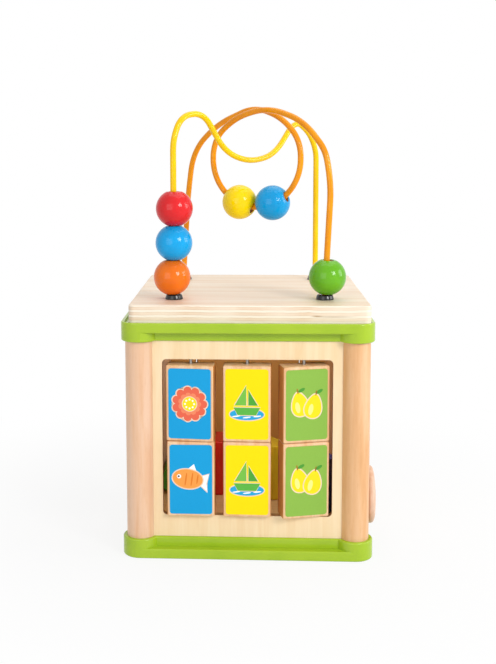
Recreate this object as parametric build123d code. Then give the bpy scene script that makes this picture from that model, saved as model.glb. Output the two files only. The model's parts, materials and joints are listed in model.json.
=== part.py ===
"""Wooden activity cube with a bead maze on top, as one solid per real piece, in millimetres.

The origin is the centre of the underside, +Z is up and the front of the cube faces -Y. Two
moulded frames hold four dowel posts and four plywood sides. The front carries six turning
picture blocks, the right side a disc in an arched track, the left side a shape sorter and the
rear a door for taking the shapes out.
"""
import math
import os

from build123d import *

# ---- moulded frames -------------------------------------------------------------------------
FRAME_SIDE = 200.0          # outer side of both frames
FRAME_CORNER_R = 14.5       # outer corner radius, concentric with the posts
FRAME_H = 15.4              # full height of a frame, corner cups included
BAND_H = 8.0                # height of the wide outer band
FRAME_FLOOR_T = 3.0         # thickness of the plate that closes a frame
FRAME_EDGE_R = 1.2          # rounding of the band's and the cups' edges
RAIL_EDGE_R = 1.5           # rounding of the rail's outer edge, where a side panel enters it
RAIL_WALL = 1.85            # wall on each side of a panel groove
LIP_T = 3.0                 # thickness of the lip around the top board
LIP_H = 1.5                 # height of that lip above the plate
LIP_CORNER_R = 8.0          # inner corner of that lip
BODY_H = 190.2              # underside of the cube to the top of the lip

# ---- posts, panels and floor ----------------------------------------------------------------
POST_D = 22.8
PANEL_T = 6.0
PANEL_SETBACK = 10.0        # outer face of a panel behind the outer face of the frames
PANEL_TENON = 5.0           # how far a panel's edge enters a post
FIT = 0.15                  # glued fit around posts, panels, screws and inlays
PRESS_FIT = 0.05            # fit around wires, rods and pins pressed into their holes
THROUGH = 1.0               # how far a cutter runs past the face it opens
FLOOR_T = 6.0
FLOOR_CLEAR = 0.5

# ---- picture blocks -------------------------------------------------------------------------
COLUMNS = 3
ROWS = 2
BLOCK_W = 38.0
BLOCK_T = 16.0
BLOCK_H = 61.0
BLOCK_EDGE_R = 1.2
BLOCK_GAP = 0.3             # between two blocks on one rod
BLOCK_SEAT = 0.5            # under the lowest block
BLOCK_HEADROOM = 4.2        # above the top block
COLUMN_CLEAR = 3.4          # between the circles that two neighbouring blocks sweep
WINDOW_CLEAR = 2.15         # between the outer blocks' circles and the window's sides
WINDOW_Z = 33.0             # lower edge of the window
WINDOW_CORNER_R = 3.5
ROD_D = 2.5
ROD_SEAT = 8.0              # how far a rod enters the panel's edge
ROD_CLEAR = 0.1             # running clearance of a block on its rod
REST_TURNS = ((0.0, -5.0), (-1.0, -2.0), (14.0, 14.0))   # degrees, per column: lower, upper
LABEL_W = 33.8
LABEL_H = 56.4
LABEL_T = 0.25
LABEL_CORNER_R = 2.2

# ---- top board and bead maze ----------------------------------------------------------------
BOARD_T = 15.0
BOARD_GAP = 2.1             # around a centred board inside the lip
BOARD_X = 1.5               # the board is screwed on this far to the right, and the maze with it
BOARD_CORNER_R = 5.0
BOARD_EDGE_R = 1.2
WIRE_D = 5.0
WIRE_INSET = 39.0           # wire foot from the outer face of the frames, on a centred board
WIRE_SEAT = 12.0            # how deep a wire stands in the board
FERRULE_D = 14.5
FERRULE_TOP_D = 11.6
FERRULE_H = 4.0
LEG_BEND_R = 60.0           # first bend of the orange wire's legs, which lean a little
LEG_BEND_RISE = 3.5         # that bend above its ferrule
RUN_SHARE = 0.48            # share of the shorter run that a bend takes on each side
VALLEY_H = 109.8            # lowest bend of the yellow wire above the board
RING_R = 41.2               # ring of the orange wire
RING_H = 112.2              # ring's centre above the board
RING_X = 5.7                # ring's centre, to the right of the board's
RING_TURN = 25.0            # degrees that the ring's right side is turned to the front
RING_RUN = 0.1              # straight run between the ring's two bends
# Bends of the yellow wire: share of the half span, height above the board as a share of the
# lowest bend's height.
YELLOW_BENDS = ((-1.0, 1.179), (-0.894, 1.346), (-0.62, 1.374), (-0.334, 1.08), (-0.01, 1.0), (0.356, 1.049),
                (0.61, 1.277), (0.721, 1.311), (0.894, 1.228), (1.0, 1.083))
# Bends of the orange wire, from its rear foot to the ring's right side and from the ring's
# left side to its front foot: share of the plan distance, height above the ring's centre as
# a share of the ring's radius.
ORANGE_REAR_BENDS = ((0.046, -0.731), (0.097, 0.177), (0.309, 0.745), (0.633, 1.097), (0.858, 0.842), (1.0, 0.362))
ORANGE_FRONT_BENDS = ((0.0, 0.398), (0.205, 0.854), (0.504, 1.051), (0.812, 0.76), (0.994, 0.187), (1.027, -0.262),
                      (1.039, -0.626))

# ---- beads ----------------------------------------------------------------------------------
BEAD_D = 30.0
BEAD_L = 27.5               # between the two flats
BEAD_BORE_D = 8.5
BEAD_GAP = 0.3              # between stacked beads and above a ferrule
RING_BEAD_ANGLE = 22.8      # each side of the ring's lowest point
RING_BEAD_DROP = 0.31       # how far a ring bead hangs below its centred place on the wire
# How far each bead on a leg rests to the right of its wire, within the play of its bore.
ORANGE_BEAD_X = -1.5
BLUE_BEAD_X = 0.15
RED_BEAD_X = 0.7
GREEN_BEAD_X = 1.3

# ---- track slider, right side ---------------------------------------------------------------
TRACK_POST = 25.5           # track's ends from the posts' axes
TRACK_Z = 42.0              # height of the track's centre
TRACK_W = 7.0
SLIDER_D = 46.4
SLIDER_T = 6.0
SLIDER_EDGE_R = 2.2
SLIDER_STANDOFF = 7.0       # outer disc from the panel
SPACER_D = 16.0
NECK_CLEAR = 0.3            # neck in the track, and both collars beside the panel
BACKING_D = 22.0
BACKING_T = 4.0
SLIDER_SCREW_D = 4.0
SLIDER_SCREW_HEAD_D = 8.0
SLIDER_SCREW_HEAD_T = 2.5
SLIDER_SCREW_BITE = 3.5     # how far the screw enters the outer disc

# ---- shape sorter, left side ----------------------------------------------------------------
SORTER_CLEAR = 1.0          # around a block in its hole
SORTER_HOLE_Y = 34.0        # holes each side of the panel's centre
SORTER_HOLE_RISE = 36.0     # holes above and below the panel's centre
SORTER_L = 50.0
SORTER_EDGE_R = 1.0
SHAPE_REST = 0.3            # between a loose shape and the floor
# Inscribed radius of each loose shape, its centre from the nearer side panel and from the rear one.
CYLINDER_R = 13.0
CYLINDER_SIDE = 18.0
CYLINDER_REAR = 36.0
SQUARE_R = 17.0
SQUARE_SIDE = 51.0
SQUARE_REAR = 44.0
TRIANGLE_R = 11.5
TRIANGLE_SIDE = 63.0
TRIANGLE_REAR = 60.5
HEXAGON_R = 17.0
HEXAGON_SIDE = 27.0
HEXAGON_REAR = 98.0
# Loose shapes: number of sides (0 is round), inscribed radius, turn in degrees.
SHAPES = {
    "green_cylinder": (0, CYLINDER_R, 0.0),
    "red_square": (4, SQUARE_R, 45.0),
    "yellow_triangle": (3, TRIANGLE_R, 90.0),
    "blue_hexagon": (6, HEXAGON_R, 0.0),
}
# Hole of each shape: side of the panel's centre along Y, and above (1) or below (-1) it.
HOLES = {
    "green_cylinder": (-1, 1),
    "red_square": (1, 1),
    "yellow_triangle": (-1, -1),
    "blue_hexagon": (1, -1),
}

# ---- rear door ------------------------------------------------------------------------------
DOOR_W = 100.0              # opening in the rear panel
DOOR_H = 104.0
DOOR_Z = 34.0
DOOR_GAP = 0.8
PIN_D = 3.0
PIN_L = 16.0                # half in the door, half in the panel
PIN_CLEAR = 0.08
FINGER_D = 24.0
FINGER_INSET = 44.0         # finger hole from the door's free edge
STOP_L = 60.0
STOP_W = 12.0
STOP_T = 6.0
STOP_CLEAR = 0.3
MAGNET_D = 4.5
MAGNET_T = 3.0
KEEPER_T = 1.0

# ---- screws ---------------------------------------------------------------------------------
SCREW_D = 4.0
SCREW_HEAD_D = 8.0
SCREW_HEAD_T = 2.2
CROSS_L = 4.8               # cross recess in a screw's head
CROSS_W = 1.0
POST_SCREW_L = 28.0
BOARD_SCREW_L = 14.0
BOARD_SCREW_PITCH = 110.0

# ---- places worked out from the values above ------------------------------------------------
HALF = FRAME_SIDE / 2
POST_C = HALF - FRAME_CORNER_R
PANEL_OUT = HALF - PANEL_SETBACK
PANEL_MID = PANEL_OUT - PANEL_T / 2
PANEL_IN = PANEL_OUT - PANEL_T
PANEL_HALF_W = POST_C - POST_D / 2 + PANEL_TENON
TRACK_R = POST_C - TRACK_POST
RAIL_OUT = PANEL_OUT + FIT + RAIL_WALL
RAIL_IN = PANEL_IN - FIT - RAIL_WALL
SEAT_Z = FRAME_FLOOR_T
CEILING_Z = BODY_H - LIP_H - FRAME_FLOOR_T
PANEL_H = CEILING_Z - SEAT_Z
FLOOR_TOP = SEAT_Z + FLOOR_T
BOARD_Z = BODY_H - LIP_H
BOARD_TOP = BOARD_Z + BOARD_T
BOARD_SIDE = FRAME_SIDE - 2 * (LIP_T + BOARD_GAP)
BLOCK_SWING = math.hypot(BLOCK_W, BLOCK_T) / 2
COLUMN_PITCH = 2 * BLOCK_SWING + COLUMN_CLEAR
WINDOW_W = (COLUMNS - 1) * COLUMN_PITCH + 2 * (BLOCK_SWING + WINDOW_CLEAR)
WINDOW_H = BLOCK_SEAT + ROWS * BLOCK_H + (ROWS - 1) * BLOCK_GAP + BLOCK_HEADROOM
WIRE_FOOT = HALF - WIRE_INSET
RING_Z = BOARD_TOP + RING_H
STACK_Z = BOARD_TOP + FERRULE_H + BEAD_GAP + BEAD_L / 2
RING_CENTRE_X = BOARD_X + RING_X
PIVOT_X = -DOOR_W / 2 + DOOR_GAP + PANEL_T / 2
# Rest place of each loose shape in plan.
SHAPE_PLACES = {
    "green_cylinder": (CYLINDER_SIDE - PANEL_IN, PANEL_IN - CYLINDER_REAR),
    "red_square": (SQUARE_SIDE - PANEL_IN, PANEL_IN - SQUARE_REAR),
    "yellow_triangle": (PANEL_IN - TRIANGLE_SIDE, PANEL_IN - TRIANGLE_REAR),
    "blue_hexagon": (PANEL_IN - HEXAGON_SIDE, PANEL_IN - HEXAGON_REAR),
}


def save(shape, node):
    """Write one node's solid or solids."""
    export_step(shape, f"parts/{node}.step")


def rounded_plate(width, depth, height, corner_r):
    """Upright prism on z = 0 with rounded corners in plan."""
    return extrude(RectangleRounded(width, depth, corner_r), height)


def side_plane(axis_dir, offset):
    """Upright plane at an offset from the cube's centre, facing out: local y is up."""
    return Plane(origin=Vector(*axis_dir) * offset, x_dir=(-axis_dir[1], axis_dir[0], 0), z_dir=axis_dir)


# ---- frames ---------------------------------------------------------------------------------
def corner_places():
    """Post centres as (sign x, sign y)."""
    return [(-1, -1), (1, -1), (-1, 1), (1, 1)]


def frame_moulding(recess):
    """One frame the way the bottom one lies; recess is the depth of a pocket in its underside."""
    band = rounded_plate(FRAME_SIDE, FRAME_SIDE, BAND_H, FRAME_CORNER_R)
    rims = band.faces().sort_by(Axis.Z)[0].edges() + band.faces().sort_by(Axis.Z)[-1].edges()
    band = fillet(rims, FRAME_EDGE_R)
    rail = Box(2 * RAIL_OUT, 2 * RAIL_OUT, FRAME_H, align=(Align.CENTER, Align.CENTER, Align.MIN))
    rail = fillet(rail.faces().sort_by(Axis.Z)[-1].edges(), RAIL_EDGE_R)
    plate_top = recess + FRAME_FLOOR_T
    well = Pos(0, 0, plate_top + FRAME_H / 2) * Box(2 * RAIL_IN, 2 * RAIL_IN, FRAME_H)
    body = band + rail - well
    cup_low = BAND_H / 2
    cup = Cylinder(FRAME_CORNER_R, FRAME_H - cup_low, align=(Align.CENTER, Align.CENTER, Align.MIN))
    cup = fillet(cup.edges().sort_by(Axis.Z)[-1], FRAME_EDGE_R)
    socket = Cylinder(POST_D / 2 + FIT, FRAME_H, align=(Align.CENTER, Align.CENTER, Align.MIN))
    for sx, sy in corner_places():
        body = body + Pos(sx * POST_C, sy * POST_C, cup_low) * cup
    for sx, sy in corner_places():
        body = body - Pos(sx * POST_C, sy * POST_C, plate_top) * socket
    groove = Box(2 * PANEL_HALF_W + 2 * FIT, PANEL_T + 2 * FIT, FRAME_H,
                 align=(Align.CENTER, Align.CENTER, Align.MIN))
    for turn in (0, 90, 180, 270):
        body = body - Rot(0, 0, turn) * Pos(0, -PANEL_MID, plate_top) * groove
    if recess > 0:
        inner = FRAME_SIDE - 2 * LIP_T
        body = body - rounded_plate(inner, inner, recess, LIP_CORNER_R)
    return body


def countersunk_hole(depth):
    """Cutter for a countersunk screw that enters along +Z from z = 0."""
    shank = Cylinder(SCREW_D / 2 + FIT, depth, align=(Align.CENTER, Align.CENTER, Align.MIN))
    sink = Cone(SCREW_HEAD_D / 2 + FIT, SCREW_D / 2 + FIT, SCREW_HEAD_T + FIT,
                align=(Align.CENTER, Align.CENTER, Align.MIN))
    return shank + sink


def countersunk_screw(length):
    """Screw that enters along +Z, its flat head just under z = 0."""
    head = Cone(SCREW_HEAD_D / 2, SCREW_D / 2, SCREW_HEAD_T, align=(Align.CENTER, Align.CENTER, Align.MIN))
    shank = Cylinder(SCREW_D / 2, length, align=(Align.CENTER, Align.CENTER, Align.MIN))
    slot = Pos(0, 0, SCREW_HEAD_T / 4) * Box(CROSS_L, CROSS_W, SCREW_HEAD_T / 2)
    cross = Pos(0, 0, SCREW_HEAD_T / 4) * Box(CROSS_W, CROSS_L, SCREW_HEAD_T / 2)
    return Pos(0, 0, FIT) * (head + shank - slot - cross)


def post_screw_places(upper):
    """One screw place per post, pointing into the post."""
    if upper:
        return [Pos(sx * POST_C, sy * POST_C, BOARD_Z) * Rot(180, 0, 0) for sx, sy in corner_places()]
    return [Pos(sx * POST_C, sy * POST_C, 0) for sx, sy in corner_places()]


def board_screw_places():
    """Screws that hold the top board from inside the cube, pointing up."""
    half = BOARD_SCREW_PITCH / 2
    return [Pos(sx * half, sy * half, CEILING_Z) for sx, sy in corner_places()]


def bottom_frame():
    """Tray that the posts, the sides and the floor stand in."""
    body = frame_moulding(0)
    for place in post_screw_places(False):
        body = body - place * countersunk_hole(POST_SCREW_L)
    return body


def top_frame():
    """The same moulding turned over, with a recess and a lip for the top board."""
    body = Pos(0, 0, BODY_H) * Rot(180, 0, 0) * frame_moulding(LIP_H)
    for place in post_screw_places(True):
        body = body - place * countersunk_hole(POST_SCREW_L)
    for place in board_screw_places():
        body = body - place * countersunk_hole(BOARD_SCREW_L)
    return body


# ---- posts, floor and top board -------------------------------------------------------------
def post(sx, sy):
    """Dowel with two grooves for the panels' edges and a pilot hole at each end."""
    body = Pos(sx * POST_C, sy * POST_C, SEAT_Z) * Cylinder(
        POST_D / 2, PANEL_H, align=(Align.CENTER, Align.CENTER, Align.MIN))
    reach = POST_D
    inner = PANEL_HALF_W + FIT
    width = PANEL_T + 2 * FIT
    tall = 2 * BODY_H
    body = body - Pos(sx * (inner - reach / 2), sy * PANEL_MID, 0) * Box(reach, width, tall)
    body = body - Pos(sx * PANEL_MID, sy * (inner - reach / 2), 0) * Box(width, reach, tall)
    for upper in (False, True):
        for place in post_screw_places(upper):
            body = body - place * countersunk_hole(POST_SCREW_L + 2 * FIT)
    return body


def floor_board():
    """Loose plywood floor with its corners cut round the corner cups."""
    side = 2 * (RAIL_IN - FLOOR_CLEAR)
    board = Pos(0, 0, SEAT_Z) * Box(side, side, FLOOR_T, align=(Align.CENTER, Align.CENTER, Align.MIN))
    notch = Cylinder(FRAME_CORNER_R + FLOOR_CLEAR, 2 * BODY_H)
    for sx, sy in corner_places():
        board = board - Pos(sx * POST_C, sy * POST_C, 0) * notch
    return board


def wire_feet():
    """Plan places of the wires' feet: yellow front and rear, then orange rear and front."""
    left = BOARD_X - WIRE_FOOT
    right = BOARD_X + WIRE_FOOT
    return [(left, -WIRE_FOOT), (right, WIRE_FOOT), (left, WIRE_FOOT), (right, -WIRE_FOOT)]


def top_board():
    """Thick plywood lid that the bead maze stands in."""
    board = rounded_plate(BOARD_SIDE, BOARD_SIDE, BOARD_T, BOARD_CORNER_R)
    board = fillet(board.faces().sort_by(Axis.Z)[-1].edges(), BOARD_EDGE_R)
    board = Pos(BOARD_X, 0, BOARD_Z) * board
    hole = Cylinder(WIRE_D / 2 + PRESS_FIT, WIRE_SEAT, align=(Align.CENTER, Align.CENTER, Align.MAX))
    for x, y in wire_feet():
        board = board - Pos(x, y, BOARD_TOP) * hole
    for place in board_screw_places():
        board = board - place * countersunk_hole(BOARD_SCREW_L + 2 * FIT)
    return board


# ---- front side: window, rods and picture blocks --------------------------------------------
def column_x(column):
    """Rod place of a column, counted from the left."""
    return (column - (COLUMNS - 1) / 2) * COLUMN_PITCH


def blank_panel():
    """A whole side panel on the front side."""
    return Pos(0, -PANEL_MID, SEAT_Z) * Box(
        2 * PANEL_HALF_W, PANEL_T, PANEL_H, align=(Align.CENTER, Align.CENTER, Align.MIN))


def front_panel():
    """Plywood side with the window and the rods' holes in its upper and lower edge."""
    window = extrude(RectangleRounded(WINDOW_W, WINDOW_H, WINDOW_CORNER_R), 2 * PANEL_T, both=True)
    window = Pos(0, -PANEL_MID, WINDOW_Z + WINDOW_H / 2) * Rot(90, 0, 0) * window
    panel = blank_panel() - window
    for column in range(COLUMNS):
        hole = Cylinder(ROD_D / 2 + PRESS_FIT, WINDOW_H + 2 * ROD_SEAT,
                        align=(Align.CENTER, Align.CENTER, Align.MIN))
        panel = panel - Pos(column_x(column), -PANEL_MID, WINDOW_Z - ROD_SEAT) * hole
    return panel


def pivot_rod(column):
    """Steel rod that two blocks turn on, let into the panel above and below the window."""
    rod = Cylinder(ROD_D / 2, WINDOW_H + 2 * ROD_SEAT, align=(Align.CENTER, Align.CENTER, Align.MIN))
    return Pos(column_x(column), -PANEL_MID, WINDOW_Z - ROD_SEAT) * rod


def block_place(column, row):
    """Place of a block's lower end on its rod, turned as it rests."""
    z = WINDOW_Z + BLOCK_SEAT + row * (BLOCK_H + BLOCK_GAP)
    return Pos(column_x(column), -PANEL_MID, z) * Rot(0, 0, REST_TURNS[column][row])


def picture_block(column, row):
    """Solid wooden block, bored lengthways for its rod."""
    block = Box(BLOCK_W, BLOCK_T, BLOCK_H, align=(Align.CENTER, Align.CENTER, Align.MIN))
    block = fillet(block.edges(), BLOCK_EDGE_R)
    bore = Cylinder(ROD_D / 2 + ROD_CLEAR, 3 * BLOCK_H)
    return block_place(column, row) * (block - bore)


def block_labels(column, row):
    """The two printed labels of a block, front and back."""
    label = extrude(RectangleRounded(LABEL_W, LABEL_H, LABEL_CORNER_R), LABEL_T)
    place = block_place(column, row) * Pos(0, 0, BLOCK_H / 2)
    front = place * Pos(0, -BLOCK_T / 2, 0) * Rot(90, 0, 0) * label
    back = place * Pos(0, BLOCK_T / 2, 0) * Rot(-90, 0, 0) * label
    return Compound(children=[front, back])


# ---- bead maze ------------------------------------------------------------------------------
def bend_radii(points, fixed):
    """A radius for each inner point, as large as its share of the shorter run allows."""
    radii = []
    for i in range(1, len(points) - 1):
        before = Vector(*points[i]) - Vector(*points[i - 1])
        after = Vector(*points[i + 1]) - Vector(*points[i])
        turn = math.radians(before.get_angle(after))
        shorter = min(before.length, after.length)
        radii.append(fixed.get(i, RUN_SHARE * shorter / math.tan(turn / 2)))
    return radii


def bent_wire(points, fixed, name):
    """Round wire along straight runs joined by tangent arcs, and a check on its volume."""
    radii = bend_radii(points, fixed)
    path = FilletPolyline(*points, radius=radii)
    wire = sweep(Plane(origin=points[0], z_dir=path % 0) * Circle(WIRE_D / 2), path=path)
    ratio = wire.volume / (math.pi * (WIRE_D / 2) ** 2 * path.length)
    smallest = min(radii)
    print(f"{name}: length {path.length:.1f}, smallest bend radius {smallest:.1f}, volume ratio {ratio:.4f}")
    return wire


def yellow_points():
    """Route of the yellow wire in the diagonal plane from front left to rear right."""
    front, rear = wire_feet()[:2]
    foot_z = BOARD_TOP - WIRE_SEAT
    points = [(*front, foot_z)]
    for share, height in YELLOW_BENDS:
        points.append((BOARD_X + share * WIRE_FOOT, share * WIRE_FOOT, BOARD_TOP + height * VALLEY_H))
    points.append((*rear, foot_z))
    return points


def ring_side(sign):
    """Plan place of the ring's right (1) or left (-1) side."""
    turn = math.radians(RING_TURN)
    return (RING_CENTRE_X + sign * RING_R * math.cos(turn), -sign * RING_R * math.sin(turn))


def arch_points(start, end, bends):
    """Bends of an arch in the upright plane through two plan places."""
    points = []
    for share, rise in bends:
        x = start[0] + share * (end[0] - start[0])
        y = start[1] + share * (end[1] - start[1])
        points.append((x, y, RING_Z + rise * RING_R))
    return points


def orange_points():
    """Route of the orange wire: rear foot, arch, ring, second arch, front foot."""
    rear, front = wire_feet()[2:]
    foot_z = BOARD_TOP - WIRE_SEAT
    bend_z = BOARD_TOP + FERRULE_H + LEG_BEND_RISE
    low_z = RING_Z - RING_R
    points = [(*rear, foot_z), (*rear, bend_z)]
    points += arch_points(rear, ring_side(1), ORANGE_REAR_BENDS)
    points += [(*ring_side(1), low_z), (*ring_side(-1), low_z)]
    points += arch_points(ring_side(-1), front, ORANGE_FRONT_BENDS)
    points += [(*front, bend_z), (*front, foot_z)]
    return points


def yellow_wire():
    """Rigid lacquered steel wire with two humps."""
    return bent_wire(yellow_points(), {}, "yellow wire")


def orange_wire():
    """Rigid lacquered steel wire with a full ring hanging in its middle."""
    points = orange_points()
    ring_bend = 2 + len(ORANGE_REAR_BENDS)
    ring_r = RING_R - RING_RUN / 2
    fixed = {1: LEG_BEND_R, ring_bend: ring_r, ring_bend + 1: ring_r, len(points) - 2: LEG_BEND_R}
    return bent_wire(points, fixed, "orange wire")


def wire_ferrules():
    """Moulded caps that hide the four holes in the board."""
    cap = Cone(FERRULE_D / 2, FERRULE_TOP_D / 2, FERRULE_H, align=(Align.CENTER, Align.CENTER, Align.MIN))
    cap = fillet(cap.edges().sort_by(Axis.Z)[-1], FERRULE_H / 5)
    cap = cap - Cylinder(WIRE_D / 2 + PRESS_FIT, 3 * FERRULE_H)
    return Compound(children=[Pos(x, y, BOARD_TOP) * cap for x, y in wire_feet()])


def bead():
    """Turned wooden bead: a ball with two flats and a wide bore along Z."""
    body = Sphere(BEAD_D / 2) & Box(BEAD_D, BEAD_D, BEAD_L)
    body = body - Cylinder(BEAD_BORE_D / 2, 2 * BEAD_D)
    return fillet(body.edges().filter_by(GeomType.CIRCLE), BEAD_GAP)


def bead_on(centre, axis):
    """Bead at a place, its bore along an axis."""
    return Plane(origin=centre, z_dir=axis) * bead()


def stacked_bead(level, aside):
    """Bead on the yellow wire's front leg, counted from the board, resting aside of the wire."""
    x, y = wire_feet()[0]
    z = STACK_Z + level * (BEAD_L + BEAD_GAP)
    return bead_on((x + aside, y, z), (0, 0, 1))


def green_bead():
    """Bead that rests on the ferrule of the orange wire's front leg, in line with the leg."""
    leg_top, leg_bend = orange_points()[-3:-1]
    along = (Vector(*leg_top) - Vector(*leg_bend)).normalized()
    flat_r = math.sqrt((BEAD_D / 2) ** 2 - (BEAD_L / 2) ** 2)
    lift = BEAD_L / 2 + BEAD_GAP + flat_r * math.sqrt(1 - along.Z ** 2) - LEG_BEND_RISE
    return bead_on(Vector(*leg_bend) + along * lift + Vector(GREEN_BEAD_X, 0, 0), along)


def ring_bead(sign):
    """Bead on the ring, right (1) or left (-1) of its lowest point, hanging on its bore's wall."""
    sagitta = RING_R - math.sqrt(RING_R ** 2 - (BEAD_L / 2) ** 2)
    radius = RING_R - sagitta / 2 + RING_BEAD_DROP
    angle = math.radians(RING_BEAD_ANGLE)
    turn = math.radians(RING_TURN)
    right = Vector(math.cos(turn), -math.sin(turn), 0)
    centre = Vector(RING_CENTRE_X, 0, RING_Z)
    place = centre + right * (sign * radius * math.sin(angle)) - Vector(0, 0, radius * math.cos(angle))
    along = right * math.cos(angle) + Vector(0, 0, sign * math.sin(angle))
    return bead_on(place, along)


# ---- right side: arched track and its slider ------------------------------------------------
def track_cutter():
    """Half-ring slot with round ends, lying in the plane of a side panel."""
    band = Circle(TRACK_R + TRACK_W / 2) - Circle(TRACK_R - TRACK_W / 2)
    band = band - Pos(0, -TRACK_R) * Rectangle(4 * TRACK_R, 2 * TRACK_R)
    for side in (-1, 1):
        band = band + Pos(side * TRACK_R, 0) * Circle(TRACK_W / 2)
    return extrude(band, 3 * PANEL_T)


def right_panel():
    """Plywood side with the arched track."""
    panel = Rot(0, 0, 90) * blank_panel()
    plane = side_plane((1, 0, 0), PANEL_IN - PANEL_T)
    return panel - plane * Pos(0, TRACK_Z) * track_cutter()


def slider_pin(x_from, x_to, diameter):
    """Round piece on the slider's axis, at the track's front end."""
    length = x_to - x_from
    piece = Cylinder(diameter / 2, length, align=(Align.CENTER, Align.CENTER, Align.MIN))
    return Pos(x_from, -TRACK_R, TRACK_Z) * Rot(0, 90, 0) * piece


def slider_disc():
    """Large turned disc that the child pushes along the track."""
    x0 = PANEL_OUT + SLIDER_STANDOFF
    disc = slider_pin(x0, x0 + SLIDER_T, SLIDER_D)
    disc = fillet(disc.edges().filter_by(GeomType.CIRCLE), SLIDER_EDGE_R)
    return disc - slider_pin(x0 - THROUGH, x0 + SLIDER_SCREW_BITE + FIT, SLIDER_SCREW_D + 2 * FIT)


def slider_spacer():
    """Collar that stands the disc off the panel, with the neck that runs in the track."""
    collar_x = PANEL_OUT + NECK_CLEAR
    neck_x = PANEL_IN - NECK_CLEAR
    disc_x = PANEL_OUT + SLIDER_STANDOFF
    body = slider_pin(collar_x, disc_x, SPACER_D)
    body = body + slider_pin(neck_x, collar_x, TRACK_W - 2 * NECK_CLEAR)
    return body - slider_pin(neck_x - THROUGH, disc_x + THROUGH, SLIDER_SCREW_D + 2 * FIT)


def slider_backing():
    """Smaller disc inside the cube that keeps the slider in its track."""
    x1 = PANEL_IN - NECK_CLEAR
    body = slider_pin(x1 - BACKING_T, x1, BACKING_D)
    return body - slider_pin(x1 - BACKING_T - THROUGH, x1 + THROUGH, SLIDER_SCREW_D + 2 * FIT)


def slider_screw():
    """Screw from inside the cube that clamps the slider together."""
    head_x = PANEL_IN - NECK_CLEAR - BACKING_T
    body = slider_pin(head_x - SLIDER_SCREW_HEAD_T, head_x, SLIDER_SCREW_HEAD_D)
    return body + slider_pin(head_x, PANEL_OUT + SLIDER_STANDOFF + SLIDER_SCREW_BITE, SLIDER_SCREW_D)


# ---- left side: shape sorter ----------------------------------------------------------------
def shape_section(name, clearance):
    """Cross-section of a loose shape, grown by a clearance all round."""
    sides, inradius, turn = SHAPES[name]
    if sides == 0:
        return Circle(inradius + clearance)
    return RegularPolygon(inradius + clearance, sides, major_radius=False, rotation=turn)


def hole_place(name):
    """Centre of a shape's hole as (y, z)."""
    side, level = HOLES[name]
    return (side * SORTER_HOLE_Y, SEAT_Z + PANEL_H / 2 + level * SORTER_HOLE_RISE)


def left_panel():
    """Plywood side with the four sorting holes."""
    panel = Rot(0, 0, -90) * blank_panel()
    for name in HOLES:
        y, z = hole_place(name)
        cutter = extrude(shape_section(name, SORTER_CLEAR), 2 * PANEL_T, both=True)
        panel = panel - Pos(-PANEL_MID, y, z) * Rot(0, -90, 0) * Rot(0, 0, -90) * cutter
    return panel


def loose_shape(name):
    """Painted block on the floor: the round one lies along Y and the others stand."""
    sides, inradius, _ = SHAPES[name]
    x, y = SHAPE_PLACES[name]
    solid = extrude(shape_section(name, 0), SORTER_L)
    solid = fillet(solid.edges(), SORTER_EDGE_R)
    z = FLOOR_TOP + SHAPE_REST
    if sides == 0:
        return Pos(x, y + SORTER_L / 2, z + inradius) * Rot(90, 0, 0) * solid
    return Pos(x, y, z) * solid


# ---- rear side: door ------------------------------------------------------------------------
def pin_cutter(clearance):
    """Upright cylinders on the door's pivot line, at its lower and upper end."""
    pin = Cylinder(PIN_D / 2 + clearance, PIN_L, align=(Align.CENTER, Align.CENTER, Align.CENTER))
    low = Pos(PIVOT_X, PANEL_MID, DOOR_Z) * pin
    high = Pos(PIVOT_X, PANEL_MID, DOOR_Z + DOOR_H) * pin
    return low, high


def rear_panel():
    """Plywood side with the door opening and the pins' holes."""
    panel = Rot(0, 0, 180) * blank_panel()
    panel = panel - Pos(0, PANEL_MID, DOOR_Z + DOOR_H / 2) * Box(DOOR_W, 3 * PANEL_T, DOOR_H)
    low, high = pin_cutter(PRESS_FIT)
    return panel - low - high


def rear_door():
    """Plywood door with a rounded hinge edge, a finger hole and a recess for its keeper."""
    height = DOOR_H - 2 * DOOR_GAP
    free_x = DOOR_W / 2 - DOOR_GAP
    width = free_x - PIVOT_X
    z0 = DOOR_Z + DOOR_GAP
    leaf = Pos(PIVOT_X + width / 2, PANEL_MID, z0) * Box(
        width, PANEL_T, height, align=(Align.CENTER, Align.CENTER, Align.MIN))
    edge = Pos(PIVOT_X, PANEL_MID, z0) * Cylinder(
        PANEL_T / 2, height, align=(Align.CENTER, Align.CENTER, Align.MIN))
    finger = Pos(free_x - FINGER_INSET, PANEL_MID, DOOR_Z + DOOR_H / 2) * Rot(90, 0, 0) * Cylinder(
        FINGER_D / 2, 3 * PANEL_T)
    low, high = pin_cutter(PIN_CLEAR)
    return leaf + edge - finger - low - high - keeper_disc(FIT)


def keeper_place():
    """Centre of the door magnet and its keeper as (x, z)."""
    return (DOOR_W / 2 - (STOP_W / 2 + DOOR_GAP) / 2, DOOR_Z + DOOR_H / 2 + STOP_L / 2 - 2 * MAGNET_D)


def keeper_disc(clearance):
    """Steel disc let into the door's inner face."""
    x, z = keeper_place()
    disc = Cylinder(MAGNET_D / 2 + clearance, KEEPER_T + clearance,
                    align=(Align.CENTER, Align.CENTER, Align.MAX))
    return Pos(x, PANEL_IN, z) * Rot(90, 0, 0) * disc


def stop_magnet(clearance):
    """Round magnet let into the stop's face."""
    x, z = keeper_place()
    disc = Cylinder(MAGNET_D / 2 + clearance, MAGNET_T + clearance,
                    align=(Align.CENTER, Align.CENTER, Align.MIN))
    return Pos(x, PANEL_IN - STOP_CLEAR, z) * Rot(90, 0, 0) * disc


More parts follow.
